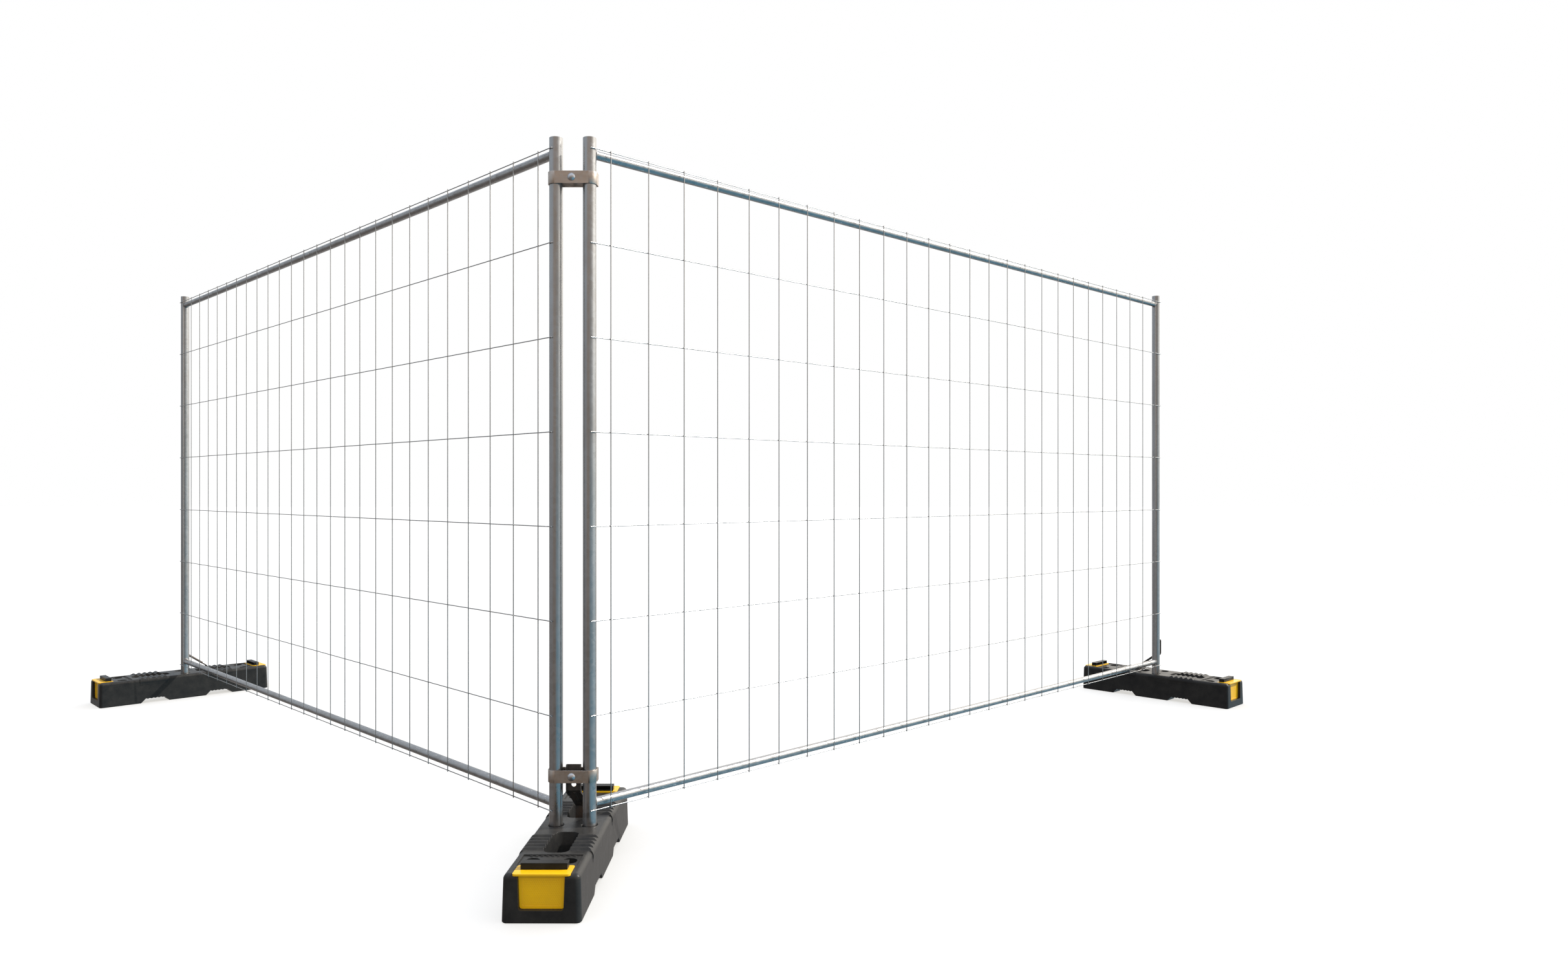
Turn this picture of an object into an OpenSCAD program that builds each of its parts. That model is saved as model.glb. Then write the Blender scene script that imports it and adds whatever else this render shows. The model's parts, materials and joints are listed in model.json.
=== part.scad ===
// Crowd control barrier: two welded mesh fence panels that meet at a corner,
// clamped together twice, and standing in three moulded block feet.
// Millimetres, +Z up. The origin is on the ground, midway between the two
// uprights at the corner. +Y points into the corner, +X towards the right panel.

/* [Panels] */
// Width of one panel over its uprights
panel_w = 3500; // [1200:10:3600]
// Length of an upright tube
upright_len = 2000; // [1500:10:2400]
// Outside diameter of an upright
upright_d = 38; // [32:1:48]
// Wall of an upright
upright_wall = 1.5; // [1:0.1:2.5]
// Angle of each panel from the line across the corner
panel_angle = 45; // [0:1:70]

/* [Rails] */
// Outside diameter of a rail
rail_d = 25; // [20:1:30]
// Wall of a rail
rail_wall = 1.5; // [1:0.1:2.5]
// Top rail centre below the top of the upright
top_rail_drop = 43.5; // [35:0.5:90]
// Bottom rail centre above the foot of the upright
bottom_rail_rise = 126.5; // [110:0.5:200]

/* [Mesh] */
// Diameter of a mesh wire
wire_d = 3; // [2.5:0.1:5]
// Number of vertical wires
vertical_count = 26; // [8:1:40]
// Number of horizontal wires
horizontal_count = 8; // [4:1:12]
// From an upright's axis to the nearest vertical wire
mesh_end_gap = 56; // [45:0.1:90]
// Top wire centre below the top of the upright
top_wire_drop = 32; // [20:1:70]
// Bottom wire centre above the foot of the upright
bottom_wire_rise = 110; // [80:1:200]
// How far a horizontal wire runs past an upright's axis
wire_end = 10.5; // [4:0.5:18]
// How far a vertical wire runs past the outer horizontal wires
wire_overrun = 3; // [2:0.5:10]

/* [Foot block] */
// Length of a foot block
foot_len = 776; // [740:1:900]
// Width of a foot block at its base
foot_w = 198; // [190:1:240]
// Height of a foot block
foot_h = 120; // [110:1:150]
// Narrowing of each side from base to top
foot_draft = 3; // [0:0.5:4]
// Radius of the block's upper edges and upright corners
foot_round = 14; // [8:1:18]
// Distance between the two upright sockets of a foot
socket_pitch = 94.8; // [79:0.1:110]
// Depth of an upright socket
socket_depth = 66; // [50:1:75]
// Distance of the spare sockets from the foot's middle
spare_socket_y = 281; // [276:1:285]

/* [Hand openings] */
// Distance from the foot's middle to the near end of a hand opening
grip_start = 70; // [60:1:80]
// Length of a hand opening
grip_len = 150; // [120:1:155]
// Width of a hand opening
grip_w = 52; // [44:1:56]
// Height of the lifting recess under each hand opening
lift_h = 22; // [12:1:30]
// Number of ribs beside each hand opening
rib_count = 5; // [3:1:6]
// Height of a rib
rib_h = 7; // [3:0.5:9]

/* [End reflectors] */
// Width of a reflector face at its top
reflector_w = 117; // [100:1:130]
// Height of the sill under a reflector face
reflector_sill = 32; // [20:1:50]
// How far a reflector face sits back from the end of the foot
reflector_setback = 13; // [4:1:20]
// Width of a reflector's top flange
flange_w = 144; // [138:1:148]
// Length of a reflector's top flange
flange_len = 64; // [58:1:68]
// Depth of an end bar, along the foot
bar_depth = 25; // [15:1:30]
// Height of an end bar
bar_h = 16; // [10:1:25]
// Step from the back of the flange to the end bar
bar_step = 6; // [0:1:12]

/* [Clamps] */
// Height of the clamp strap and plate
clamp_h = 35; // [28:1:50]
// Thickness of the clamp strap and plate
clamp_t = 2.7; // [2:0.1:4]
// Upper clamp centre below the top of the uprights
upper_clamp_drop = 114.5; // [95:0.5:300]
// Lower clamp centre above the ground
lower_clamp_z = 260; // [250:1:300]
// Clamp bolt diameter
bolt_d = 10; // [8:1:12]
// How far the clamp plate backs off as its nut is unscrewed
clamp_travel = 7.5; // [3:0.5:10]

/* [Anti-lift bracket] */
// Gap between the bracket and each upright, across the foot
bracket_gap = 7.4; // [5:0.1:9]
// Thickness of the bracket
bracket_t = 4; // [2:0.5:5]
// Height of the bend above the ground
bracket_bend_z = 214; // [200:1:218]
// Width of the bracket's tail
bracket_tail_w = 28; // [20:1:34]
// Distance of the tail from the foot's middle
bracket_tail_y = 112; // [100:1:125]
// Diameter of the inspection hole
bracket_hole_d = 14; // [8:1:14]
// Width of the cross bar that hooks under the block
hook_w = 84; // [70:1:100]

/* [Clearances] */
// Play of an upright in its socket, on the radius
socket_play = 2; // [1:0.1:3]
// Gap between pieces that turn or slide against each other
run_gap = 0.3; // [0.2:0.05:0.5]
// Gap left between welded round pieces
weld_gap = 0.05; // [0.02:0.01:0.1]
// Play of the nut on the bolt, on the radius
thread_play = 0.05; // [0.02:0.01:0.1]
// Play of the bolt in plain holes, on the radius
bolt_play = 0.5; // [0.3:0.1:1]

/* [Hidden] */
$fn = 48;
eps = 0.5;

upright_r = upright_d / 2;
rail_r = rail_d / 2;
wire_r = wire_d / 2;
span = panel_w - upright_d;
near_x = socket_pitch / 2;

upright_z0 = foot_h - socket_depth + run_gap;
upright_z1 = upright_z0 + upright_len;
top_rail_z = upright_z1 - top_rail_drop;
bottom_rail_z = upright_z0 + bottom_rail_rise;
top_wire_z = upright_z1 - top_wire_drop;
bottom_wire_z = upright_z0 + bottom_wire_rise;
wire_pitch_x = (span - 2 * mesh_end_gap) / (vertical_count - 1);
wire_pitch_z = (top_wire_z - bottom_wire_z) / (horizontal_count - 1);
horizontal_wire_y = -(upright_r + wire_r + weld_gap);
vertical_wire_y = horizontal_wire_y - wire_d - weld_gap;

half_len = foot_len / 2;
end_draft = 2;
base_half = foot_w / 2;
top_half = base_half - foot_draft;
base_bevel = 2.5;
socket_r = upright_r + socket_play;
socket_lead = 2.5;

// Plan of a hand opening and the funnel at its mouth
grip_mid = grip_start + grip_len / 2;
grip_corner = 14;
funnel_flare = 8;
funnel_h = 34;
rib_pitch = 25;
rib_shift = 7;
rib_mid = grip_mid + rib_shift;
rib_run = rib_count * rib_pitch;
rib_start = rib_mid - rib_run / 2;
rib_inner = grip_w / 2;
rib_wrap = 22;
rib_steps = 10;
rib_root = 30;
rib_sink = 0.5;
rib_reach = top_half + 2;
rib_side_step = 1;

// Lifting recess under a hand opening
lift_mid = 147.5;
lift_flat = 83;
lift_slope = lift_h;
ripple_count = 5;
ripple_steps = 8;
ripple_h = 2.5;

// Recessed marking panel between the hand opening and the flange
tray_depth = 3;
tray_half = 77;
tray_start = 243;
tick_count = 9;
tick_w = 7;
tick_len = 6;
tick_pitch = 14;
tick_inset = 3;

// End reflector: its flange lies in a rebate, proud of the block by a little
flange_t = 5;
flange_proud = 1;
flange_z1 = foot_h + flange_proud;
flange_z0 = flange_z1 - flange_t;
flange_y1 = half_len - 1;
flange_y0 = flange_y1 - flange_len;
flange_corner = 8;
face_taper = 3;
face_corner = 7;
face_t = 8;
face_y1 = half_len - reflector_setback;
face_y0 = face_y1 - face_t;
field_inset = 7;
field_depth = 1;
bar_half = reflector_w / 2;
bar_wall = 3;

// Clamp
tube_seat_r = upright_r + run_gap;
strap_r = tube_seat_r + clamp_t;
plate_y0 = tube_seat_r;
plate_y1 = plate_y0 + clamp_t;
plate_inset = 1;
plate_half = near_x + strap_r - plate_inset;
plate_corner = 6;
plate_lip = 3;
plate_lip_h = 4;
plate_lip_half = 26;
upper_clamp_z = upright_z1 - upper_clamp_drop;
bolt_r = bolt_d / 2;
bolt_head_r = 1.1 * bolt_d;
bolt_head_h = 0.55 * bolt_d;
bolt_neck = 0.96 * bolt_d;
washer_r = 1.05 * bolt_d;
washer_t = 2;
nut_af = 1.7 * bolt_d;
nut_h = 0.8 * bolt_d;
bolt_tail = 2.5;
nut_y0 = plate_y1 + washer_t;
bolt_y1 = nut_y0 + nut_h + clamp_travel + bolt_tail;
bolt_y0 = -strap_r;

// Anti-lift bracket, a bent strip: down from the clamp bolt, back, and down
// through the rear hand opening to a cross bar that hooks under the block
bracket_y = plate_y0 - plate_lip - run_gap - bracket_t / 2;
bracket_rise = 27;
bracket_top = lower_clamp_z + bracket_rise;
bracket_w = socket_pitch - upright_d - 2 * bracket_gap;
hook_z1 = lift_h - ripple_h - run_gap;
hook_z0 = hook_z1 / 2;
hook_t = 9;
neck_slope = 0.74;
neck_drop = neck_slope * (bracket_tail_y - bracket_y);
bracket_path = [
    [bracket_y, bracket_top],
    [bracket_y, bracket_bend_z],
    [bracket_tail_y, bracket_bend_z - neck_drop],
    [bracket_tail_y, hook_z0],
];
ear_depth = 10;
ear_t = 3;
ear_run = 40;
ear_chamfer_y = 3;
ear_chamfer_z = 6;
ear_heel = 4;
bead_r = 5;
bead_sink = 1;
lean_dir = heading(bracket_path, 1);
lean_angle = atan2(-lean_dir[1], lean_dir[0]);
bead_start = 14;
bead_len = 85;
window_rise = 9;
window_z = bracket_bend_z + bracket_hole_d / 2 + window_rise;

foot_paint = [0.13, 0.13, 0.13];
galvanised = [0.62, 0.63, 0.64];
reflector_yellow = [0.93, 0.72, 0.08];
bar_black = [0.10, 0.09, 0.09];
bracket_steel = [0.22, 0.21, 0.21];

// ---- placing -------------------------------------------------------------

// Panel frame: x runs along the panel from the corner upright, -y is the mesh side
module right_side() {
    translate([near_x, 0, 0]) rotate([0, 0, panel_angle]) children();
}

module left_side() {
    mirror([1, 0, 0]) right_side() children();
}

// Foot frame at the far end of a panel: the panel stands in its inner socket
module far_foot() {
    translate([span + near_x, 0, 0]) children();
}

module both_ends() {
    children();
    mirror([0, 1, 0]) children();
}

module both_sides() {
    children();
    mirror([1, 0, 0]) children();
}

// ---- shared shapes -------------------------------------------------------

module rounded_plan(half_x, half_y, r) {
    square([2 * (half_x - r), 2 * half_y], center = true);
    square([2 * half_x, 2 * (half_y - r)], center = true);
    for (x = [-1, 1], y = [-1, 1])
        translate([x * (half_x - r), y * (half_y - r)]) circle(r);
}

// Extrudes a (y, z) outline along X, centred on the YZ plane
module across(width) {
    rotate([90, 0, 90]) linear_extrude(width, center = true) children();
}

module tube_z(r, wall, len) {
    difference() {
        cylinder(r = r, h = len);
        translate([0, 0, -eps]) cylinder(r = r - wall, h = len + 2 * eps);
    }
}

function left_of(v) = [-v[1], v[0]];
function heading(path, i) = (path[i + 1] - path[i]) / norm(path[i + 1] - path[i]);
function mitred(path, i, d) =
    let (last = len(path) - 1,
         before = left_of(heading(path, max(i - 1, 0))),
         after = left_of(heading(path, min(i, last - 1))),
         both = (before + after) / norm(before + after))
    path[i] + both * d / (both * before);

// Outline of a bent strip whose faces lie at d0 and d1 to the left of its path
module strip_outline(path, d0, d1) {
    last = len(path) - 1;
    polygon(concat([for (i = [0:last]) mitred(path, i, d0)],
                   [for (i = [last:-1:0]) mitred(path, i, d1)]));
}

// ---- foot block ----------------------------------------------------------

module block_blank() {
    hull() {
        for (x = [-1, 1], y = [-1, 1]) {
            translate([x * (top_half - foot_round), y * (half_len - foot_round - end_draft),
                       foot_h - foot_round])
                sphere(foot_round, $fn = 32);
            translate([x * (base_half - foot_round), y * (half_len - foot_round), 0])
                cylinder(r1 = foot_round - base_bevel, r2 = foot_round, h = base_bevel, $fn = 32);
        }
    }
}

// Underside recess with a rippled ceiling, as a (y, z) outline
module lift_outline() {
    steps = ripple_count * ripple_steps;
    half = lift_flat / 2;
    polygon(concat(
        [[lift_mid - half - lift_slope - eps, -eps]],
        [for (i = [0:steps])
            [lift_mid - half + lift_flat * i / steps,
             lift_h - ripple_h * (1 - cos(360 * ripple_count * i / steps)) / 2]],
        [[lift_mid + half + lift_slope + eps, -eps]]));
}

module grip_plan(grow) {
    rounded_plan(grip_w / 2 + grow, grip_len / 2 + grow, grip_corner + grow);
}

module grip_cut() {
    translate([0, grip_mid, -eps]) linear_extrude(foot_h + 2 * eps) grip_plan(0);
    // The funnel runs on past the top, so that it trims the ribs beside it too
    translate([0, grip_mid, 0]) hull() {
        translate([0, 0, foot_h - funnel_h]) linear_extrude(eps) grip_plan(0);
        translate([0, 0, foot_h + rib_h]) linear_extrude(eps)
            grip_plan(funnel_flare * (funnel_h + rib_h) / funnel_h);
    }
}

module socket_cut() {
    translate([0, 0, foot_h - socket_depth]) cylinder(r = socket_r, h = socket_depth + eps);
}

module socket_lead_in() {
    translate([0, 0, foot_h - socket_lead])
        cylinder(r1 = socket_r, r2 = socket_r + socket_lead + 0.1, h = socket_lead + 0.1);
}

// A row of rounded ribs beside a hand opening, wrapping over the block's edge
module rib_row() {
    steps = rib_count * rib_steps;
    root_z = foot_h - rib_root;
    intersection() {
        translate([rib_inner + rib_reach / 2, 0, 0]) across(rib_reach)
            polygon(concat(
                [[rib_start, root_z]],
                [for (i = [0:steps])
                    [rib_start + rib_run * i / steps,
                     foot_h - rib_sink + rib_h * (1 - cos(360 * rib_count * i / steps)) / 2]],
                [[rib_start + rib_run, root_z]]));
        along_y(rib_start - eps, rib_start + rib_run + eps) {
            translate([rib_reach - rib_wrap, foot_h + rib_h - rib_wrap]) circle(rib_wrap);
            translate([rib_inner, root_z])
                square([rib_reach - rib_wrap - rib_inner, rib_root + rib_h]);
            translate([rib_inner, root_z])
                square([rib_reach - rib_side_step - rib_inner, rib_root + rib_h - rib_wrap]);
        }
    }
}

module tray_cut() {
    translate([-tray_half, tray_start, foot_h - tray_depth])
        cube([2 * tray_half, flange_y0 - tray_start + eps, tray_depth + eps]);
}

// Plain raised ticks along the inner edge of the marking panel
module tray_ticks() {
    for (i = [0:tick_count - 1])
        translate([(i - (tick_count - 1) / 2) * tick_pitch - tick_w / 2, tray_start + tick_inset,
                   foot_h - tray_depth - eps])
            cube([tick_w, tick_len, tray_depth / 2 + eps]);
}

// Reflector face outline in (x, z): wider at the top, with rounded lower corners
module face_outline(grow, z1) {
    z0 = reflector_sill - grow;
    low = reflector_w / 2 - face_taper + grow;
    high = reflector_w / 2 + grow;
    r = face_corner;
    arc = [for (a = [0:15:90]) [low - r + r * sin(a), z0 + r - r * cos(a)]];
    polygon(concat(arc, [[high, z1], [-high, z1]],
                   [for (i = [len(arc) - 1:-1:0]) [-arc[i][0], arc[i][1]]]));
}

module along_y(y0, y1) {
    translate([0, y1, 0]) rotate([90, 0, 0]) linear_extrude(y1 - y0) children();
}

module end_notch_cut() {
    along_y(face_y0, half_len + eps) face_outline(run_gap, foot_h + eps);
    translate([0, (flange_y0 + half_len + eps) / 2, flange_z0]) linear_extrude(flange_t + eps)
        square([flange_w + 2 * run_gap, half_len + eps - flange_y0 + 2 * run_gap], center = true);
}

module foot_block() {
    color(foot_paint) {
        difference() {
            union() {
                block_blank();
                both_ends() both_sides() rib_row();
            }
            both_ends() {
                across(foot_w + 2) lift_outline();
                grip_cut();
                tray_cut();
                end_notch_cut();
                both_sides() translate([near_x, spare_socket_y, 0]) socket_cut();
            }
            both_sides() translate([near_x, 0, 0]) {
                socket_cut();
                socket_lead_in();
            }
        }
        both_ends() tray_ticks();
    }
}

module foot_reflectors() {
    color(reflector_yellow) both_ends() {
        difference() {
            along_y(face_y0, face_y1) face_outline(0, flange_z0 + eps);
            along_y(face_y1 - field_depth, face_y1 + eps) translate([0, reflector_sill + field_inset])
                rounded_field();
        }
        translate([0, (flange_y0 + flange_y1) / 2, flange_z0]) linear_extrude(flange_t)
            rounded_plan(flange_w / 2, flange_len / 2, flange_corner);
    }
}

// Shallow sunk field in a reflector face, in (x, z) from its lower edge
module rounded_field() {
    half_x = reflector_w / 2 - face_taper - field_inset;
    half_z = (flange_z0 - reflector_sill - 2 * field_inset) / 2;
    translate([0, half_z]) rounded_plan(half_x, half_z, face_corner / 2);
}

// Channel-shaped bars that lie on the reflector flanges, open towards the middle
module foot_end_bars() {
    color(bar_black) both_ends() translate([0, flange_y0 + bar_step, flange_z1]) difference() {
        translate([-bar_half, 0, 0]) cube([2 * bar_half, bar_depth, bar_h]);
        translate([-bar_half + bar_wall, -eps, bar_wall])
            cube([2 * (bar_half - bar_wall), bar_depth - bar_wall + eps, bar_h - 2 * bar_wall]);
    }
}

// Side ear of the bracket, in (y, z): deep beside the plate, fading along the neck
module ear_outline() {
    front = bracket_y - ear_depth;
    neck_point = bracket_path[1] + lean_dir * ear_run;
    polygon([
        [bracket_y, bracket_top],
        [front + ear_chamfer_y, bracket_top],
        [front, bracket_top - ear_chamfer_z],
        [front, bracket_bend_z + ear_heel],
        [front + ear_chamfer_y, bracket_bend_z - ear_chamfer_z],
        neck_point - [bracket_t, bracket_t / 2],
        neck_point,
        bracket_path[1],
    ]);
}

// Plan that narrows the strip from its plate to its tail
module bracket_plan() {
    wide = bracket_w / 2;
    narrow = bracket_tail_w / 2;
    front = bracket_y - ear_depth - eps;
    back = bracket_tail_y + bracket_t;
    polygon([[-wide, front], [wide, front], [wide, bracket_y],
             [narrow, back], [-narrow, back], [-wide, bracket_y]]);
}

module foot_bracket() {
    color(bracket_steel) {
        difference() {
            union() {
                intersection() {
                    across(bracket_w) strip_outline(bracket_path, -bracket_t / 2, bracket_t / 2);
                    linear_extrude(bracket_top + eps) bracket_plan();
                }
                both_sides() translate([bracket_w / 2 - ear_t / 2, 0, 0])
                    across(ear_t) ear_outline();
                translate([0, bracket_y, bracket_bend_z]) rotate([-lean_angle, 0, 0])
                    translate([0, bead_start, bracket_t / 2 - bead_sink]) rotate([-90, 0, 0])
                        cylinder(r = bead_r, h = bead_len);
            }
            for (hole = [[lower_clamp_z, bolt_r + bolt_play], [window_z, bracket_hole_d / 2]])
                translate([0, bracket_y - bracket_t, hole[0]]) rotate([-90, 0, 0])
                    cylinder(r = hole[1], h = 2 * bracket_t);
        }
        translate([-hook_w / 2, bracket_tail_y - hook_t / 2, hook_z0])
            cube([hook_w, hook_t, hook_z1 - hook_z0]);
    }
}

// ---- panel ---------------------------------------------------------------

module upright() {
    color(galvanised) translate([0, 0, upright_z0]) tube_z(upright_r, upright_wall, upright_len);
}

// A rail between the uprights, its ends cut to fit round them
module rail(z) {
    color(galvanised) difference() {
        translate([0, 0, z]) rotate([0, 90, 0]) tube_z(rail_r, rail_wall, span);
        for (x = [0, span])
            translate([x, 0, z - rail_d]) cylinder(r = upright_r + weld_gap, h = 2 * rail_d);
    }
}

module vertical_wires() {
    color(galvanised) for (i = [0:vertical_count - 1])
        translate([mesh_end_gap + i * wire_pitch_x, vertical_wire_y, bottom_wire_z - wire_overrun])
            cylinder(r = wire_r, h = top_wire_z - bottom_wire_z + 2 * wire_overrun, $fn = 16);
}

module horizontal_wires() {
    color(galvanised) for (i = [0:horizontal_count - 1])
        translate([-wire_end, horizontal_wire_y, bottom_wire_z + i * wire_pitch_z])
            rotate([0, 90, 0]) cylinder(r = wire_r, h = span + 2 * wire_end, $fn = 16);
}

// ---- clamp ---------------------------------------------------------------

// Plan of the strap's outside or inside, wrapped round both uprights
module strap_plan(r, back) {
    for (x = [-1, 1]) translate([x * near_x, 0]) circle(r);
    translate([-near_x, -r]) square([2 * near_x, 2 * r]);
    translate([-near_x - r, 0]) square([2 * (near_x + r), back]);
}

module clamp_strap() {
    color(galvanised) difference() {
        translate([0, 0, -clamp_h / 2]) linear_extrude(clamp_h) difference() {
            strap_plan(strap_r, plate_y0 - run_gap);
            strap_plan(tube_seat_r, plate_y0 + eps);
            translate([-near_x - strap_r - eps, plate_y0 - run_gap])
                square([2 * (near_x + strap_r + eps), strap_r]);
        }
        cube([bolt_neck + 2 * run_gap, 3 * strap_r, bolt_neck + 2 * run_gap], center = true);
    }
}

module clamp_plate() {
    color(galvanised) difference() {
        union() {
            along_y(plate_y0, plate_y1) rounded_plan(plate_half, clamp_h / 2, plate_corner);
            for (z = [-1, 1])
                translate([-plate_lip_half, plate_y0 - plate_lip,
                           z * (clamp_h - plate_lip_h) / 2 - plate_lip_h / 2])
                    cube([2 * plate_lip_half, plate_lip + clamp_t / 2, plate_lip_h]);
        }
        along_y(plate_y0 - eps, plate_y1 + eps) circle(bolt_r + bolt_play);
    }
}

module clamp_bolt() {
    cap_r = (bolt_head_r * bolt_head_r + bolt_head_h * bolt_head_h) / (2 * bolt_head_h);
    color(galvanised) {
        along_y(bolt_y0, bolt_y1) circle(bolt_r);
        intersection() {
            translate([0, bolt_y0 - bolt_head_h + cap_r, 0]) sphere(cap_r);
            along_y(bolt_y0 - bolt_head_h - eps, bolt_y0) circle(bolt_head_r);
        }
        translate([-bolt_neck / 2, bolt_y0 - eps, -bolt_neck / 2])
            cube([bolt_neck, clamp_t + eps, bolt_neck]);
    }
}

module clamp_washer() {
    color(galvanised) along_y(plate_y1, nut_y0) difference() {
        circle(washer_r);
        circle(bolt_r + bolt_play);
    }
}

module clamp_nut() {
    color(galvanised) along_y(nut_y0, nut_y0 + nut_h) difference() {
        circle(d = nut_af / cos(30), $fn = 6);
        circle(bolt_r + thread_play);
    }
}

module upper_clamp() { translate([0, 0, upper_clamp_z]) children(); }
module lower_clamp() { translate([0, 0, lower_clamp_z]) children(); }

// ---- nodes ---------------------------------------------------------------

foot_block();  // corner_foot
foot_reflectors();  // corner_foot_reflectors
foot_end_bars();  // corner_foot_end_bars
foot_bracket();  // corner_foot_bracket

right_side() far_foot() foot_block();  // right_foot
right_side() far_foot() foot_reflectors();  // right_foot_reflectors
right_side() far_foot() foot_end_bars();  // right_foot_end_bars
right_side() far_foot() foot_bracket();  // right_foot_bracket

left_side() far_foot() foot_block();  // left_foot
left_side() far_foot() foot_reflectors();  // left_foot_reflectors
left_side() far_foot() foot_end_bars();  // left_foot_end_bars
left_side() far_foot() foot_bracket();  // left_foot_bracket

right_side() upright();  // right_inner_upright
right_side() translate([span, 0, 0]) upright();  // right_outer_upright
right_side() rail(top_rail_z);  // right_top_rail
right_side() rail(bottom_rail_z);  // right_bottom_rail
right_side() vertical_wires();  // right_vertical_wires
right_side() horizontal_wires();  // right_horizontal_wires

left_side() upright();  // left_inner_upright
left_side() translate([span, 0, 0]) upright();  // left_outer_upright
left_side() rail(top_rail_z);  // left_top_rail
left_side() rail(bottom_rail_z);  // left_bottom_rail
left_side() vertical_wires();  // left_vertical_wires
left_side() horizontal_wires();  // left_horizontal_wires

upper_clamp() clamp_strap();  // upper_clamp_strap
upper_clamp() clamp_plate();  // upper_clamp_plate
upper_clamp() clamp_bolt();  // upper_clamp_bolt
upper_clamp() clamp_washer();  // upper_clamp_washer
upper_clamp() clamp_nut();  // upper_clamp_nut

lower_clamp() clamp_strap();  // lower_clamp_strap
lower_clamp() clamp_plate();  // lower_clamp_plate
lower_clamp() clamp_bolt();  // lower_clamp_bolt
lower_clamp() clamp_washer();  // lower_clamp_washer
lower_clamp() clamp_nut();  // lower_clamp_nut
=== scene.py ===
"""Looks of the crowd control barrier: two mesh fence panels clamped at a corner, in three block feet.

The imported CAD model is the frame. This script gives its nodes their materials and rounded edges,
swaps the bolts for threaded ones and the nuts for chamfered ones, and adds weld beads, spot
welds and reflector prisms.
"""
import json
import math
import random

import bmesh
import bpy
from mathutils import Matrix, Vector


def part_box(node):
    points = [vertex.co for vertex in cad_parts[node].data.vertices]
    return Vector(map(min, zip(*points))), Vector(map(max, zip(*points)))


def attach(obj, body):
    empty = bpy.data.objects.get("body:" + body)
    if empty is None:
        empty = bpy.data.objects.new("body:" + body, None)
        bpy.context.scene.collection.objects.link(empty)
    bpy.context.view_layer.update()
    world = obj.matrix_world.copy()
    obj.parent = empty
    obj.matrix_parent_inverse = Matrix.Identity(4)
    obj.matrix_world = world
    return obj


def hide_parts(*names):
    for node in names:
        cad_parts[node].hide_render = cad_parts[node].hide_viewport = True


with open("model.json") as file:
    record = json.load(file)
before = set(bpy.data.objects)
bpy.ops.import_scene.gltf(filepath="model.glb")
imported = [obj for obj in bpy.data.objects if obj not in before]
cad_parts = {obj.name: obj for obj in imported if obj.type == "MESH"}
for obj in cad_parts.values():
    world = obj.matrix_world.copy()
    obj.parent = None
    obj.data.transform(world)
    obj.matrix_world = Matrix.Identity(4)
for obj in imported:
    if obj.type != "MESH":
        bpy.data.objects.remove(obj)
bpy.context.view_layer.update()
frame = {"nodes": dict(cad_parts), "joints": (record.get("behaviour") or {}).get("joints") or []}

MM = 0.001
SIDES = ("right", "left")
CLAMPS = ("upper", "lower")
FEET = ("corner", "right", "left")
NODES = frame["nodes"]
JOINTS = {joint["name"]: joint for joint in frame["joints"]}


# ---- node helpers -----------------------------------------------------------

def node(tree, kind, inputs=(), **settings):
    """A new shader node; inputs maps sockets to values or to other nodes' output sockets."""
    made = tree.nodes.new(kind)
    for key, value in settings.items():
        setattr(made, key, value)
    for key, value in dict(inputs).items():
        if isinstance(value, bpy.types.NodeSocket):
            tree.links.new(value, made.inputs[key])
        else:
            made.inputs[key].default_value = value
    return made


def noise(tree, where, scale, detail=4.0, roughness=0.55):
    inputs = {"Vector": where, "Scale": scale, "Detail": detail, "Roughness": roughness}
    return node(tree, "ShaderNodeTexNoise", inputs).outputs["Fac"]


def stretched(tree, where, scale):
    """Coordinates scaled by a different factor along each axis."""
    return node(tree, "ShaderNodeMapping", {"Vector": where, "Scale": scale}).outputs["Vector"]


def remap(tree, value, low, high, to_low=0.0, to_high=1.0):
    inputs = {"Value": value, "From Min": low, "From Max": high, "To Min": to_low, "To Max": to_high}
    return node(tree, "ShaderNodeMapRange", inputs, clamp=True).outputs["Result"]


def math_node(tree, operation, first, second):
    return node(tree, "ShaderNodeMath", {0: first, 1: second}, operation=operation).outputs["Value"]


def blend(tree, share, first, second):
    """The first colour where share is 0, and the second where it is 1."""
    mix = node(tree, "ShaderNodeMix", data_type="RGBA")
    for index, value in ((0, share), (6, first), (7, second)):
        if isinstance(value, bpy.types.NodeSocket):
            tree.links.new(value, mix.inputs[index])
        else:
            mix.inputs[index].default_value = value if index == 0 else (*value, 1.0)
    return mix.outputs[2]


def bump(tree, height, distance, strength=1.0, normal=None):
    inputs = {"Height": height, "Distance": distance, "Strength": strength}
    if normal is not None:
        inputs["Normal"] = normal
    return node(tree, "ShaderNodeBump", inputs).outputs["Normal"]


def rounded_normal(tree, radius):
    return node(tree, "ShaderNodeBevel", {"Radius": radius}, samples=4).outputs["Normal"]


def edge_share(tree, rounded, low, high):
    """0 on flats and 1 on edges, from how far the rounded normal leans away from the true one."""
    true_normal = node(tree, "ShaderNodeNewGeometry").outputs["Normal"]
    lean = node(tree, "ShaderNodeVectorMath", {0: rounded, 1: true_normal}, operation="DOT_PRODUCT")
    return remap(tree, math_node(tree, "SUBTRACT", 1.0, lean.outputs["Value"]), low, high)


def upward_share(tree, low, high):
    """0 on walls and 1 on faces that look up."""
    normal = node(tree, "ShaderNodeNewGeometry").outputs["Normal"]
    height = node(tree, "ShaderNodeSeparateXYZ", {"Vector": normal}).outputs["Z"]
    return remap(tree, height, low, high)


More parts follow.
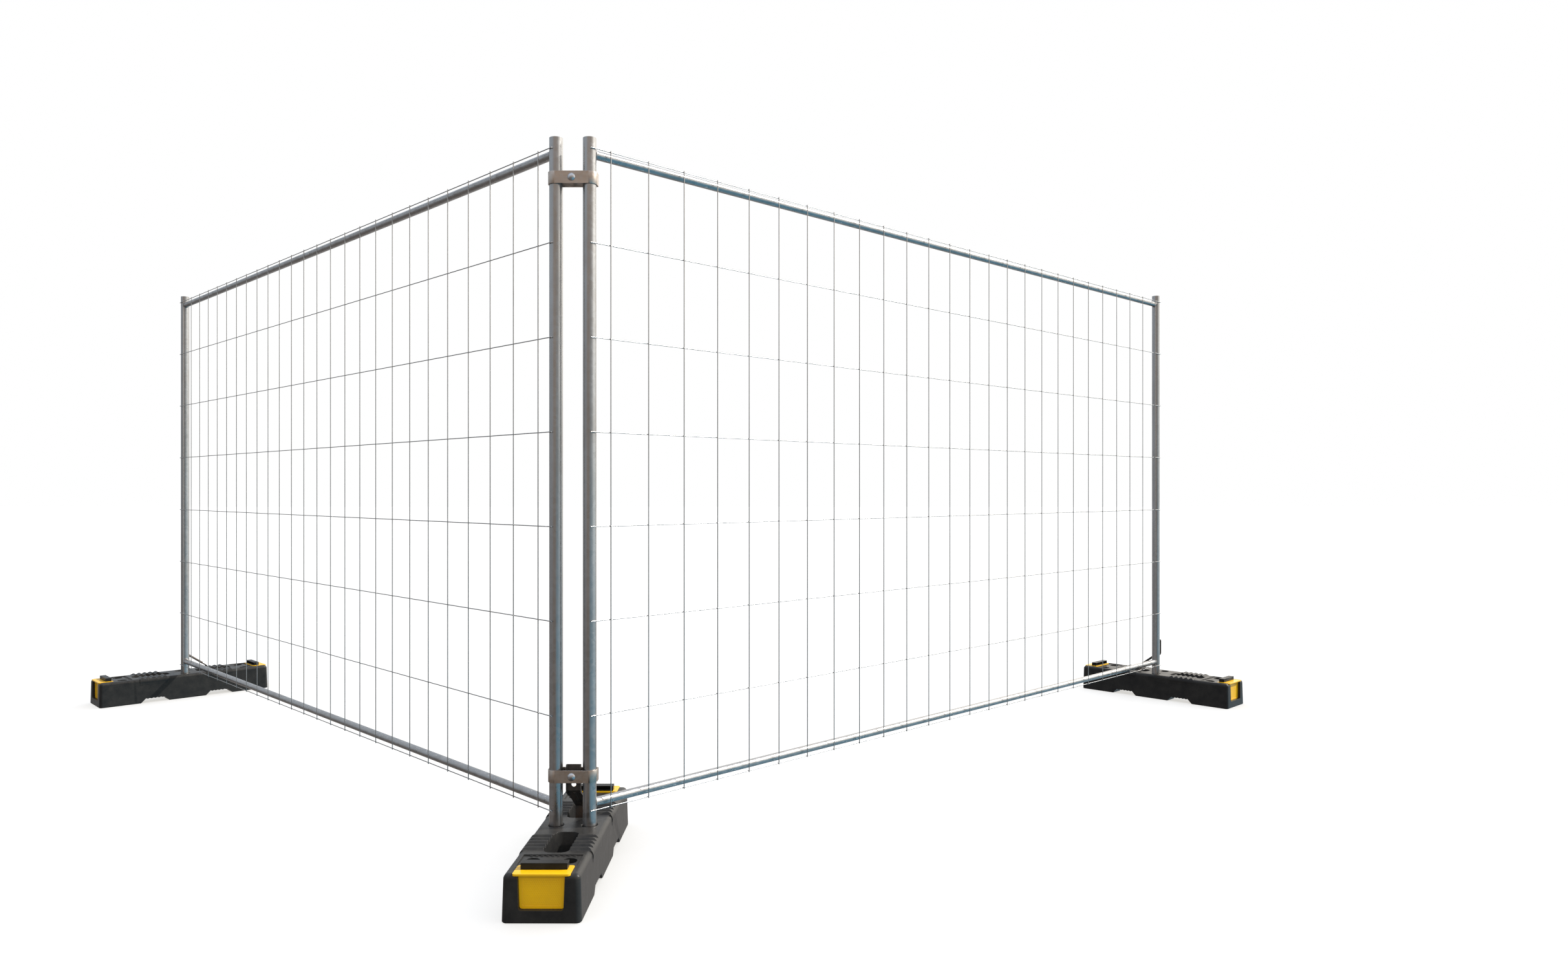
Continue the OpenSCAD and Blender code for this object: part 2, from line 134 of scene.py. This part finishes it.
def start_material(name, **constants):
    """A material, its tree, its shader and the piece's own coordinates."""
    material = bpy.data.materials.new(name)
    material.use_nodes = True
    tree = material.node_tree
    shader = tree.nodes["Principled BSDF"]
    for socket, value in constants.items():
        shader.inputs[socket.replace("_", " ")].default_value = value
    return material, tree, shader, node(tree, "ShaderNodeTexCoord").outputs["Object"]


def connect(tree, shader, colour, roughness, normal):
    tree.links.new(colour, shader.inputs["Base Color"])
    tree.links.new(roughness, shader.inputs["Roughness"])
    tree.links.new(normal, shader.inputs["Normal"])


# ---- materials --------------------------------------------------------------

def galvanised(name, dull, bright, stain, rough=(0.34, 0.52), cell=0.011, streak=(55, 55, 4)):
    """Hot-dip zinc: faint spangle cells, run marks along Z, and warm stains in patches."""
    material, tree, shader, where = start_material(name, Metallic=1.0)
    cells = node(tree, "ShaderNodeTexVoronoi", {"Vector": where, "Scale": 1 / cell})
    spangle = node(tree, "ShaderNodeSeparateColor", {"Color": cells.outputs["Color"]}).outputs["Red"]
    runs = noise(tree, stretched(tree, where, streak), 1.0, 5.0)
    patches = noise(tree, where, 7.0, 6.0, 0.62)
    tone = math_node(tree, "ADD", math_node(tree, "MULTIPLY", spangle, 0.28),
                     remap(tree, runs, 0.3, 0.7, 0.0, 0.72))
    colour = blend(tree, tone, dull, bright)
    colour = blend(tree, remap(tree, patches, 0.52, 0.74, 0.0, 0.5), colour, stain)
    roughness = math_node(tree, "ADD", remap(tree, spangle, 0.0, 1.0, rough[0], rough[1]),
                          remap(tree, patches, 0.4, 0.7, 0.0, 0.1))
    skin = bump(tree, noise(tree, where, 260.0, 3.0), 0.0001, 0.4)
    connect(tree, shader, colour, roughness, bump(tree, runs, 0.0002, 0.25, skin))
    return material


def moulded(name, body, mottle_and_sheen, wear, sheen_share=0.5, gloss=0.3, grain=0.0004):
    """Moulded recycled plastic: coarse grain, a painted sheen that lightens faces looking up, pale worn
    edges and scuffs.
    """
    material, tree, shader, where = start_material(name, Specular_IOR_Level=gloss)
    coarse = noise(tree, where, 22.0, 6.0, 0.65)
    fine = noise(tree, where, 420.0, 3.0, 0.6)
    pits = node(tree, "ShaderNodeTexVoronoi", {"Vector": where, "Scale": 170.0}).outputs["Distance"]
    scuffs = noise(tree, stretched(tree, where, (9, 9, 160)), 1.0, 4.0, 0.7)
    rounded = rounded_normal(tree, 0.0022)
    # Painted sheen: faces that look up are blended in patches towards the paler colour, as if lit from
    # above.
    painted_sheen_mask = math_node(tree, "MULTIPLY", upward_share(tree, 0.45, 0.95),
                        remap(tree, coarse, 0.36, 0.64, 0.25, 1.0))
    colour = blend(tree, remap(tree, coarse, 0.3, 0.7, 0.0, 0.28), body, mottle_and_sheen)
    colour = blend(tree, math_node(tree, "MULTIPLY", painted_sheen_mask, sheen_share), colour, mottle_and_sheen)
    colour = blend(tree, remap(tree, scuffs, 0.64, 0.76, 0.0, 0.3), colour, wear)
    edges = math_node(tree, "MULTIPLY", edge_share(tree, rounded, 0.02, 0.16),
                      remap(tree, fine, 0.35, 0.65, 0.25, 0.8))
    colour = blend(tree, edges, colour, wear)
    roughness = math_node(tree, "ADD", remap(tree, coarse, 0.3, 0.7, 0.28, 0.40),
                          math_node(tree, "MULTIPLY", painted_sheen_mask, 0.05))
    skin = bump(tree, fine, grain, 0.6, rounded)
    connect(tree, shader, colour, roughness, bump(tree, pits, grain, 0.35, skin))
    return material


def lens_plastic(name, body, deep, grime, rounding):
    """Yellow moulded plastic: clear gloss, a little depth of colour, grime along rounded edges."""
    material, tree, shader, where = start_material(
        name, Specular_IOR_Level=0.35, Coat_Weight=0.12, Coat_Roughness=0.2)
    cloud = noise(tree, where, 16.0, 5.0)
    flecks = noise(tree, where, 240.0, 2.0)
    colour = blend(tree, remap(tree, cloud, 0.3, 0.7), body, deep)
    colour = blend(tree, remap(tree, flecks, 0.62, 0.75, 0.0, 0.25), colour, grime)
    rounded = None
    if rounding:
        rounded = rounded_normal(tree, rounding)
        grimy = math_node(tree, "MULTIPLY", edge_share(tree, rounded, 0.02, 0.2),
                          remap(tree, cloud, 0.4, 0.65, 0.0, 0.35))
        colour = blend(tree, grimy, colour, grime)
    roughness = remap(tree, cloud, 0.3, 0.7, 0.26, 0.42)
    connect(tree, shader, colour, roughness, bump(tree, flecks, 0.0001, 0.4, rounded))
    return material


def dipped_steel(name, body, worn, rust):
    """Dark dipped steel: orange-peel coat, bare worn edges, and rust that creeps from low down."""
    material, tree, shader, where = start_material(name, Metallic=0.55, Specular_IOR_Level=0.4)
    cloud = noise(tree, where, 30.0, 6.0, 0.6)
    peel = noise(tree, where, 320.0, 2.0)
    rounded = rounded_normal(tree, 0.001)
    height = node(tree, "ShaderNodeSeparateXYZ", {"Vector": where}).outputs["Z"]
    low_down = remap(tree, height, 0.10, 0.22, 0.75, 0.15)
    colour = blend(tree, remap(tree, cloud, 0.35, 0.65, 0.0, 0.4), body, worn)
    rusty = math_node(tree, "MULTIPLY", low_down, remap(tree, cloud, 0.42, 0.6))
    colour = blend(tree, rusty, colour, rust)
    colour = blend(tree, edge_share(tree, rounded, 0.03, 0.2), colour, worn)
    roughness = remap(tree, cloud, 0.3, 0.7, 0.42, 0.66)
    connect(tree, shader, colour, roughness, bump(tree, peel, 0.0002, 0.5, rounded))
    return material


def pale_floor():
    material, tree, shader, where = start_material(
        "pale_floor", Specular_IOR_Level=0.0, Emission_Color=(1, 0.98, 0.935, 1), Emission_Strength=0.64)
    cloud = noise(tree, where, 1.5, 3.0)
    colour = blend(tree, cloud, (0.48, 0.48, 0.48), (0.52, 0.52, 0.52))
    roughness = remap(tree, cloud, 0.0, 1.0, 0.85, 0.95)
    connect(tree, shader, colour, roughness, bump(tree, cloud, 0.0005, 0.1))
    return material


TUBE = galvanised("tube_zinc", (0.36, 0.355, 0.35), (0.46, 0.46, 0.465), (0.33, 0.30, 0.275),
                  rough=(0.24, 0.34))
WIRE = galvanised("wire_zinc", (0.34, 0.335, 0.33), (0.46, 0.46, 0.46), (0.30, 0.28, 0.26),
                  rough=(0.26, 0.36), cell=0.004)
CLAMP = galvanised("clamp_zinc", (0.45, 0.385, 0.335), (0.55, 0.49, 0.44), (0.38, 0.31, 0.25),
                   rough=(0.28, 0.42), cell=0.007, streak=(26, 26, 90))
ZINC_PLATE = galvanised("fastener_zinc", (0.46, 0.46, 0.47), (0.60, 0.61, 0.63), (0.38, 0.34, 0.29),
                        rough=(0.22, 0.34), cell=0.003)
WELD = galvanised("weld_zinc", (0.27, 0.26, 0.25), (0.42, 0.415, 0.41), (0.23, 0.19, 0.16),
                  rough=(0.38, 0.55), cell=0.003)
# The third colour of FOOT and BAR is a paler mottle, and also the painted sheen on faces that look up.
FOOT = moulded("foot_plastic", (0.012, 0.0123, 0.0127), (0.060, 0.056, 0.050), (0.046, 0.044, 0.041),
               sheen_share=0.3, gloss=0.2)
BAR = moulded("bar_plastic", (0.006, 0.006, 0.006), (0.045, 0.044, 0.043), (0.038, 0.036, 0.034),
              sheen_share=0.3, gloss=0.15, grain=0.0002)
YELLOWS = (0.80, 0.455, 0.006), (0.72, 0.405, 0.005), (0.42, 0.26, 0.03)
LENS = lens_plastic("reflector_yellow", *YELLOWS, rounding=0.0012)
PRISMS = lens_plastic("reflector_prisms", *YELLOWS, rounding=0)
BRACKET = dipped_steel("bracket_steel", (0.045, 0.043, 0.042), (0.16, 0.15, 0.14), (0.10, 0.055, 0.03))

NODE_MATERIALS = (
    ("_foot", FOOT), ("_reflectors", LENS), ("_end_bars", BAR), ("_bracket", BRACKET),
    ("_upright", TUBE), ("_rail", TUBE), ("_wires", WIRE), ("_strap", CLAMP), ("_plate", CLAMP),
    ("_washer", ZINC_PLATE), ("_bolt", ZINC_PLATE), ("_nut", ZINC_PLATE),
)


def paint(piece, material):
    piece.data.materials.clear()
    piece.data.materials.append(material)


for node_name, cad_piece in NODES.items():
    paint(cad_piece, next(m for ending, m in NODE_MATERIALS if node_name.endswith(ending)))


EDGE_MERGE = 0.02 * MM
EDGE_ANGLE = math.radians(40)
CLAMP_EDGES = (("strap", 0.5 * MM), ("plate", 0.5 * MM), ("washer", 0.35 * MM))
END_BAR_EDGE = 0.7 * MM


def round_edges(cad_piece, width):
    """Rounds a CAD node's edges by modifiers, which leave its own mesh as it is."""
    weld = cad_piece.modifiers.new("weld", "WELD")
    weld.merge_threshold = EDGE_MERGE
    bevel = cad_piece.modifiers.new("bevel", "BEVEL")
    bevel.width = width
    bevel.segments = 2
    bevel.limit_method = "ANGLE"
    bevel.angle_limit = EDGE_ANGLE
    bevel.harden_normals = True


for clamp in CLAMPS:
    for part, radius in CLAMP_EDGES:
        round_edges(NODES[f"{clamp}_clamp_{part}"], radius)
for foot in FEET:
    round_edges(NODES[f"{foot}_foot_end_bars"], END_BAR_EDGE)


# ---- mesh helpers -----------------------------------------------------------

def piece_from(name, verts, faces, material, body, smooth=True):
    mesh = bpy.data.meshes.new(name)
    mesh.from_pydata([tuple(v) for v in verts], [], faces)
    work = bmesh.new()
    work.from_mesh(mesh)
    bmesh.ops.recalc_face_normals(work, faces=work.faces)
    work.to_mesh(mesh)
    work.free()
    mesh.polygons.foreach_set("use_smooth", [smooth] * len(mesh.polygons))
    made = bpy.data.objects.new(name, mesh)
    bpy.context.scene.collection.objects.link(made)
    made.data.materials.append(material)
    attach(made, body)
    return made


class Shapes:
    """Collects the vertices and faces of many small shapes for one piece."""

    def __init__(self):
        self.verts, self.faces = [], []

    def rings(self, rings, closed=False):
        """Skins a list of equal rings of points; closed also joins the last ring to the first."""
        start, count = len(self.verts), len(rings[0])
        for ring in rings:
            self.verts += ring
        last = len(rings) if closed else len(rings) - 1
        for i in range(last):
            low, high = start + i * count, start + (i + 1) % len(rings) * count
            for k in range(count):
                step = (k + 1) % count
                self.faces.append((low + k, low + step, high + step, high + k))
        if not closed:
            self.faces.append(tuple(range(start + count - 1, start - 1, -1)))
            top = start + (len(rings) - 1) * count
            self.faces.append(tuple(range(top, top + count)))

    def blob(self, centre, axes, bands=4, count=8):
        """A squashed ball whose half sizes are the lengths of three axes."""
        start = len(self.verts)
        along, across, up = axes
        self.verts.append(centre - up)
        for i in range(1, bands):
            lift = -math.cos(math.pi * i / bands)
            wide = math.sin(math.pi * i / bands)
            for k in range(count):
                turn = 2 * math.pi * k / count
                self.verts.append(centre + up * lift + along * wide * math.cos(turn)
                                  + across * wide * math.sin(turn))
        self.verts.append(centre + up)
        top = len(self.verts) - 1
        for k in range(count):
            step = (k + 1) % count
            self.faces.append((start, start + 1 + step, start + 1 + k))
            for i in range(bands - 2):
                low = start + 1 + i * count
                self.faces.append((low + k, low + step, low + count + step, low + count + k))
            self.faces.append((top, top - count + k, top - count + step))

    def piece(self, name, material, body, slot, smooth=True):
        return piece_from(name, self.verts, self.faces, material, body, smooth)


# ---- panels: weld beads and wire welds --------------------------------------

UP = Vector((0, 0, 1))
WIRE_GROUP_GAP = 10 * MM
SADDLE_LIFT = 0.4 * MM
WELD_LIFT = 0.5 * MM

# Weld sizes in millimetres: the middle value or range, and how far it varies
SADDLE_SIZE, SADDLE_RIPPLE, SADDLE_WANDER = 1.9, 0.35, 0.12
BEAD_LONG, BEAD_TALL, BEAD_DEEP = (4.0, 5.5), (2.3, 2.9), 1.6
SPOT_SIZE, SPOT_DEEP = (1.5, 1.9), 1.5


class Panel:
    """One panel's own axes, measured from the joints at its two uprights."""

    def __init__(self, side):
        self.side, self.body = side, f"{side}_panel"
        near = Vector(JOINTS[f"{side}_panel_swing"]["pos_m"])
        far = Vector(JOINTS[f"{side}_foot_turn"]["pos_m"])
        self.near, self.span = near, (far - near).length
        self.along = (far - near).normalized()
        across = self.along.cross(UP)
        self.out = across if across.y < 0 else -across
        self.upright_r = self.half_size(f"{side}_inner_upright", self.along)
        self.rail_r = (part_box(f"{side}_top_rail")[1].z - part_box(f"{side}_top_rail")[0].z) / 2

    def spread(self, node_name, direction):
        return sorted((v.co - self.near).dot(direction) for v in NODES[node_name].data.vertices)

    def half_size(self, node_name, direction):
        values = self.spread(node_name, direction)
        return (values[-1] - values[0]) / 2

    def centres(self, node_name, direction):
        """The centres of separate wires, from where their points bunch along a direction."""
        values, found = self.spread(node_name, direction), []
        first = previous = values[0]
        for value in values[1:] + [values[-1] + 1]:
            if value - previous > WIRE_GROUP_GAP:
                found.append((first + previous) / 2)
                first = value
            previous = value
        return found

    def point(self, along, out, up):
        return self.near + self.along * along + self.out * out + UP * up

    def rail_height(self, rail):
        low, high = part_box(f"{self.side}_{rail}_rail")
        return (low.z + high.z) / 2


def saddle_bead(shapes, panel, height, at, inward, rng):
    """A weld bead along the curve where a rail meets an upright, with the ripples of its passes."""
    steps, sides, passes = 72, 8, 22
    rings = []
    reach = panel.rail_r + SADDLE_LIFT
    for i in range(steps):
        turn = 2 * math.pi * i / steps
        out, up = reach * math.cos(turn), reach * math.sin(turn)
        stand_off = math.sqrt(panel.upright_r ** 2 - out ** 2) + WELD_LIFT
        centre = panel.point(at + inward * stand_off, out, height + up)
        radial = panel.out * math.cos(turn) + UP * math.sin(turn)
        wander = rng.uniform(-SADDLE_WANDER, SADDLE_WANDER)
        size = (SADDLE_SIZE + SADDLE_RIPPLE * math.cos(passes * turn) + wander) * MM
        rings.append([centre + radial * size * math.cos(2 * math.pi * k / sides)
                      + panel.along * inward * size * math.sin(2 * math.pi * k / sides)
                      for k in range(sides)])
    shapes.rings(rings, closed=True)


def panel_welds(side):
    rng = random.Random(f"welds {side}")
    panel = Panel(side)
    beads, spots = Shapes(), Shapes()
    for rail in ("top", "bottom"):
        for at, inward in ((0.0, 1), (panel.span, -1)):
            saddle_bead(beads, panel, panel.rail_height(rail), at, inward, rng)
    rows = panel.centres(f"{side}_horizontal_wires", UP)
    columns = panel.centres(f"{side}_vertical_wires", panel.along)
    row_out = panel.centres(f"{side}_horizontal_wires", panel.out)[0]
    column_out = panel.centres(f"{side}_vertical_wires", panel.out)[0]
    for height in rows:
        for at in (0.0, panel.span):
            long, tall = (rng.uniform(*limits) for limits in (BEAD_LONG, BEAD_TALL))
            beads.blob(panel.point(at, panel.upright_r + WELD_LIFT, height),
                       (panel.along * (long * MM), panel.out * BEAD_DEEP * MM, UP * tall * MM),
                       bands=6, count=12)
        for at in columns:
            size = rng.uniform(*SPOT_SIZE) * MM
            spots.blob(panel.point(at, (row_out + column_out) / 2, height),
                       (panel.along * size, panel.out * SPOT_DEEP * MM, UP * size))
    beads.piece(f"{side}_panel_weld_beads", WELD, panel.body, "galvanised_tube")
    spots.piece(f"{side}_mesh_spot_welds", WIRE, panel.body, "galvanised_wire")


for side in SIDES:
    panel_welds(side)


# ---- clamps: threaded bolts and chamfered nuts ------------------------------

THREAD_PITCH = 1.5 * MM
THREAD_DEPTH = 0.75 * MM
THREAD_PROUD = 0.35 * MM
THREAD_STEPS = 8
ROUND_STEPS = 48
SHANK_SHARE = 0.46          # of the bolt head's radius
DOME_STEPS, DOME_CROWDING = 10, 1.6
DOME_TIP_DEPTH, DOME_TIP_R = 0.004 * MM, 0.35 * MM
RIM_HEIGHT, RIM_LIP, RIM_UNDERCUT, RIM_INSET = 0.5 * MM, 0.1 * MM, 0.5 * MM, 0.05 * MM
SHANK_END, THREAD_START = 9 * MM, 8 * MM     # both behind the rear plate's back
RUN_IN, RUN_OUT, RUN_OUT_LEFT = 2 * MM, 1.2 * MM, 0.15
BORE_PLAY = 0.06 * MM
NUT_COUNTERSINK, NUT_FACE_INSET = 0.5 * MM, 0.3 * MM
CHAMFER_SLOPE, CHAMFER_LAND = 0.58, 0.2 * MM


def ring_y(centre, y, radius):
    """A ring round the Y axis through centre; radius is a number or a function of the turn."""
    reach = radius if callable(radius) else (lambda turn: radius)
    return [Vector((centre.x + reach(t) * math.cos(t), y, centre.z + reach(t) * math.sin(t)))
            for t in (2 * math.pi * k / ROUND_STEPS for k in range(ROUND_STEPS))]


def coach_bolt(clamp):
    """Domed head, round shank and a rolled thread with a chamfered end, in place of the plain bolt."""
    name = f"{clamp}_clamp_bolt"
    low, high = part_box(name)
    strap_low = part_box(f"{clamp}_clamp_strap")[0]
    plate_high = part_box(f"{clamp}_clamp_plate")[1]
    centre = (low + high) / 2
    head_r, head_h = (high.x - low.x) / 2, strap_low.y - low.y
    cap_r = (head_r ** 2 + head_h ** 2) / (2 * head_h)
    shank = SHANK_SHARE * head_r
    dome = [low.y + head_h * (i / DOME_STEPS) ** DOME_CROWDING for i in range(1, DOME_STEPS)]
    profile = [(low.y + DOME_TIP_DEPTH, DOME_TIP_R)]
    profile += [(y, math.sqrt(max(cap_r ** 2 - (low.y + cap_r - y) ** 2, 0.0))) for y in dome]
    profile += [(strap_low.y - RIM_HEIGHT, head_r - RIM_INSET),
                (strap_low.y - RIM_LIP, head_r - RIM_UNDERCUT),
                (strap_low.y, shank), (plate_high.y - SHANK_END, shank)]
    shapes = Shapes()
    rings = [ring_y(centre, y, r) for y, r in profile]
    start, end = plate_high.y - THREAD_START, high.y
    count = int((end - start) / THREAD_PITCH * THREAD_STEPS)
    for i in range(count + 1):
        y = start + (end - start) * i / count
        taper = max(min(1.0, (y - start) / RUN_IN, (end - y) / RUN_OUT + RUN_OUT_LEFT), 0.0)

        def thread(turn, y=y, taper=taper):
            phase = (y / THREAD_PITCH - turn / (2 * math.pi)) % 1.0
            crest = 1 - abs(2 * phase - 1)
            return shank - THREAD_DEPTH * (1 - crest * taper) + THREAD_PROUD * crest * taper

        rings.append(ring_y(centre, y, thread))
    shapes.rings(rings)
    bolt = shapes.piece(f"{clamp}_threaded_bolt", ZINC_PLATE, "base", "fastener")
    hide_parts(name)


def chamfered_nut(clamp):
    """A hexagon nut with both faces chamfered, in place of the plain one."""
    name = f"{clamp}_clamp_nut"
    low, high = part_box(name)
    centre = (low + high) / 2
    corner = max((high.x - low.x), (high.z - low.z)) / 2
    flat = corner * math.cos(math.pi / 6)
    bore = SHANK_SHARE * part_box(f"{clamp}_clamp_bolt")[1].x + BORE_PLAY
    pointing = 0.0 if high.x - low.x > high.z - low.z else math.pi / 6

    def hexagon(turn):
        return flat / math.cos((turn - pointing) % (math.pi / 3) - math.pi / 6)

    def chamfer_y(end, inward):
        """The chamfer eats deeper at the corners than at the flats."""
        ring = ring_y(centre, end, hexagon)
        for k, corner_point in enumerate(ring):
            turn = 2 * math.pi * k / ROUND_STEPS
            corner_point.y += inward * ((hexagon(turn) - flat) * CHAMFER_SLOPE + CHAMFER_LAND)
        return ring

    shapes = Shapes()
    shapes.rings([
        ring_y(centre, low.y, bore + NUT_COUNTERSINK), ring_y(centre, low.y, flat - NUT_FACE_INSET),
        chamfer_y(low.y, 1), chamfer_y(high.y, -1),
        ring_y(centre, high.y, flat - NUT_FACE_INSET), ring_y(centre, high.y, bore + NUT_COUNTERSINK),
        ring_y(centre, high.y - NUT_COUNTERSINK, bore), ring_y(centre, low.y + NUT_COUNTERSINK, bore),
    ], closed=True)
    nut = shapes.piece(f"{clamp}_hex_nut", ZINC_PLATE, f"{clamp}_nut", "fastener", smooth=False)
    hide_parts(name)


for clamp in CLAMPS:
    coach_bolt(clamp)
    chamfered_nut(clamp)


# ---- feet: reflector prisms --------------------------------------------------

PRISM = 5.2 * MM
PRISM_HEIGHT = 0.25 * MM
PRISM_REACH = 0.56          # corner radius as a share of the pitch
HEX_ROW = 0.866             # row step of a hexagonal grid as a share of the pitch
FIELD_INSET, FIELD_DEPTH, FLANGE_T = 9 * MM, 1 * MM, 5 * MM
LENS_FOOT_BAND = 20 * MM
FOOT_TURNS = {"corner": 0.0, "right": math.radians(45), "left": math.radians(-45)}


class FootFrame:
    """A foot's own axes: x across it and y along it, from its centre on the ground."""

    def __init__(self, foot):
        self.body = "base" if foot == "corner" else f"{foot}_far_foot"
        self.foot = foot
        low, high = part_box(f"{foot}_foot")
        self.matrix = Matrix.Translation(Vector(((low.x + high.x) / 2, (low.y + high.y) / 2, 0))) \
            @ Matrix.Rotation(FOOT_TURNS[foot], 4, "Z")
        inverse = self.matrix.inverted()
        self.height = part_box(f"{foot}_foot_reflectors")[1].z
        lens = [inverse @ v.co for v in NODES[f"{foot}_foot_reflectors"].data.vertices]
        self.lens_low = min(p.z for p in lens)
        face = [p for p in lens if p.z < self.lens_low + LENS_FOOT_BAND]
        self.lens_half = max(p.x for p in face)
        self.lens_y = max(p.y for p in face)


def reflector_prisms(foot):
    """Rows of shallow hexagonal prisms in the sunk field of both reflector faces."""
    shapes = Shapes()
    half = foot.lens_half - FIELD_INSET
    low, high = foot.lens_low + FIELD_INSET, foot.height - FLANGE_T - FIELD_INSET
    row_step, column_step = PRISM * HEX_ROW, PRISM
    rows = int((high - low) / row_step)
    for end in (-1, 1):
        for row in range(rows):
            shift = column_step / 2 if row % 2 else 0.0
            for column in range(int(2 * half / column_step)):
                x = -half + shift + column_step * (column + 0.5)
                z = low + row_step * (row + 0.5)
                if x + PRISM / 2 > half:
                    continue
                start = len(shapes.verts)
                back = end * (foot.lens_y - FIELD_DEPTH)
                for k in range(6):
                    turn = math.pi / 6 + k * math.pi / 3
                    rim = Vector((x + PRISM_REACH * PRISM * math.cos(turn), back,
                                  z + PRISM_REACH * PRISM * math.sin(turn)))
                    shapes.verts.append(foot.matrix @ rim)
                shapes.verts.append(foot.matrix @ Vector((x, back + end * PRISM_HEIGHT, z)))
                for k in range(6):
                    shapes.faces.append((start + k, start + (k + 1) % 6, start + 6))
                shapes.faces.append(tuple(start + k for k in range(5, -1, -1)))
    shapes.piece(f"{foot.foot}_foot_prisms", PRISMS, foot.body, "reflector", smooth=False)


for foot in FEET:
    reflector_prisms(FootFrame(foot))


# ---- stage, light and camera ------------------------------------------------

SUN_FROM = (0.752, 0.153, 0.640)
SUN_STRENGTH, SUN_ANGLE, SUN_COLOUR = 4.6, math.radians(1), (1.0, 0.96, 0.90)
FILL_POWER, FILL_SIZE, FILL_COLOUR = 100, 3.0, (1.0, 0.98, 0.95)
FILL_PLACE, FILL_AIM = (1.2, -6.0, 2.6), (0, 0.3, 0.2)
FLOOR_HALF, FLOOR_DROP = 60.0, -0.5 * MM
CAMERA_PLACE, CAMERA_TURN = (0.6049, -2.9733, 1.066), 0.186
CAMERA_SENSOR, CAMERA_LENS, CAMERA_CLIP = 36.0, 24.228, (0.05, 200.0)
ROOM = {
    "low_left": (0.20, 0.175, 0.16), "low_right": (0.17, 0.40, 0.55), "low_back": (0.46, 0.43, 0.41),
    "front": (0.56, 0.47, 0.40), "left": (0.60, 0.66, 0.72), "right": (1.9, 1.8, 1.65),
    "sky_left": (0.85, 0.92, 1.08), "sky_right": (0.90, 0.94, 1.0),
}


def plain_floor():
    """A pale floor that the camera sees, and that the metal mirrors nothing of."""
    mesh = bpy.data.meshes.new("floor")
    corners = [(x * FLOOR_HALF, y * FLOOR_HALF, FLOOR_DROP)
               for x, y in ((-1, -1), (1, -1), (1, 1), (-1, 1))]
    mesh.from_pydata(corners, [], [(0, 1, 2, 3)])
    floor = bpy.data.objects.new("floor", mesh)
    bpy.context.scene.collection.objects.link(floor)
    floor.data.materials.append(pale_floor())
    floor.visible_glossy = floor.visible_diffuse = floor.visible_shadow = False
    return floor


def add_light(data, place, aim, floor):
    """A light that reaches everything but the floor, whose own glow is level without it."""
    light = bpy.data.objects.new(data.name, data)
    light.location = place
    light.rotation_euler = (Vector(aim) - Vector(place)).to_track_quat("-Z", "Y").to_euler()
    skips = bpy.data.collections.new(f"{data.name}_skips")
    skips.objects.link(floor)
    skips.collection_objects[0].light_linking.link_state = "EXCLUDE"
    light.light_linking.receiver_collection = skips
    bpy.context.scene.collection.objects.link(light)
    return light


def studio_lights(floor):
    """A sun from the right and a little behind, and a front fill that the metal doesn't mirror."""
    sun = bpy.data.lights.new("sun", "SUN")
    sun.energy, sun.angle, sun.color = SUN_STRENGTH, SUN_ANGLE, SUN_COLOUR
    add_light(sun, SUN_FROM, (0, 0, 0), floor)
    fill = bpy.data.lights.new("fill", "AREA")
    fill.energy, fill.size, fill.color = FILL_POWER, FILL_SIZE, FILL_COLOUR
    add_light(fill, FILL_PLACE, FILL_AIM, floor).visible_glossy = False


def studio_world():
    """White to look at, and a soft room to mirror: warm in front, bright on the right, cool above."""
    world = bpy.data.worlds.new("studio")
    bpy.context.scene.world = world
    world.use_nodes = True
    tree = world.node_tree
    tree.nodes.clear()
    where = node(tree, "ShaderNodeTexCoord").outputs["Generated"]
    axes = node(tree, "ShaderNodeSeparateXYZ", {"Vector": where})
    side, depth, height = (axes.outputs[k] for k in ("X", "Y", "Z"))
    left = blend(tree, remap(tree, depth, -0.85, -0.68), ROOM["front"], ROOM["left"])
    right = blend(tree, remap(tree, depth, -0.75, -0.1), ROOM["front"], ROOM["right"])
    level = blend(tree, remap(tree, side, -0.35, 0.35), left, right)
    low = blend(tree, remap(tree, side, 0.05, 0.35), ROOM["low_left"], ROOM["low_right"])
    low = blend(tree, remap(tree, depth, 0.5, 0.85), low, ROOM["low_back"])
    sky = blend(tree, remap(tree, side, -0.3, 0.6), ROOM["sky_left"], ROOM["sky_right"])
    colour = blend(tree, remap(tree, height, -0.25, 0.25), low, level)
    colour = blend(tree, remap(tree, height, 0.45, 0.8), colour, sky)
    room = node(tree, "ShaderNodeBackground", {"Color": colour, "Strength": 1.0})
    white = node(tree, "ShaderNodeBackground", {"Color": (1, 1, 1, 1), "Strength": 1.0})
    seen = node(tree, "ShaderNodeLightPath").outputs["Is Camera Ray"]
    both = node(tree, "ShaderNodeMixShader", {0: seen, 1: room.outputs[0], 2: white.outputs[0]})
    output = node(tree, "ShaderNodeOutputWorld")
    tree.links.new(both.outputs[0], output.inputs["Surface"])


def view_camera():
    data = bpy.data.cameras.new("camera")
    data.sensor_width, data.lens = CAMERA_SENSOR, CAMERA_LENS
    data.clip_start, data.clip_end = CAMERA_CLIP
    camera = bpy.data.objects.new("camera", data)
    camera.location = CAMERA_PLACE
    camera.rotation_euler = (math.radians(90), 0, math.radians(CAMERA_TURN))
    bpy.context.scene.collection.objects.link(camera)
    bpy.context.scene.camera = camera


studio_lights(plain_floor())
studio_world()
view_camera()
bpy.context.scene.view_settings.view_transform = "Standard"
